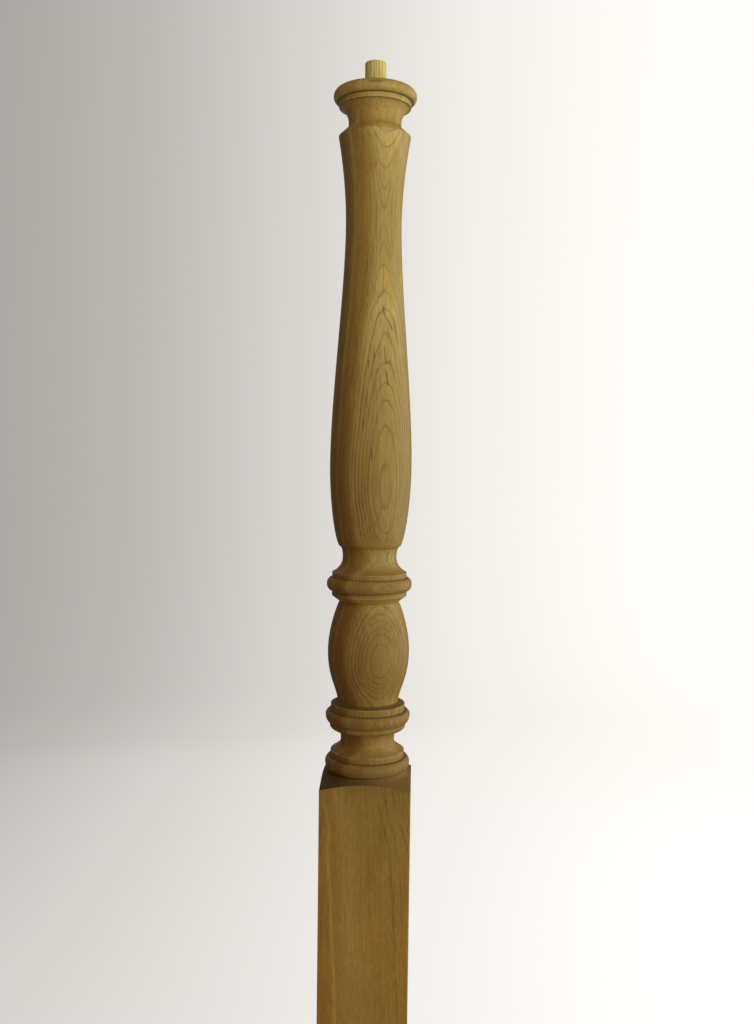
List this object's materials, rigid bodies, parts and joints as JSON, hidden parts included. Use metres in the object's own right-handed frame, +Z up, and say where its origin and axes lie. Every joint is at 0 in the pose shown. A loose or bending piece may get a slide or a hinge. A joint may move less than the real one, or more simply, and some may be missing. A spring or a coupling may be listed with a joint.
{
  "type": "newel post",
  "caption": "Turned wooden newel post with a moulded cap, tapered shaft, vase and square base block, and a dowel pin on top for a handrail.",
  "frame": {"origin": "middle of the block's underside", "axes": "+Z up along the post to the dowel pin, +X and -Y square to the block's faces"},
  "size_m": [0.0826, 0.0826, 1.1167],
  "materials": {
    "post_wood": "sanded bare wood, satin",
    "dowel_wood": "raw dowel stock, matt"
  },
  "bodies": {
    "root": {"newel_post": "post_wood", "dowel_pin": "dowel_wood"}
  },
  "joints": []
}
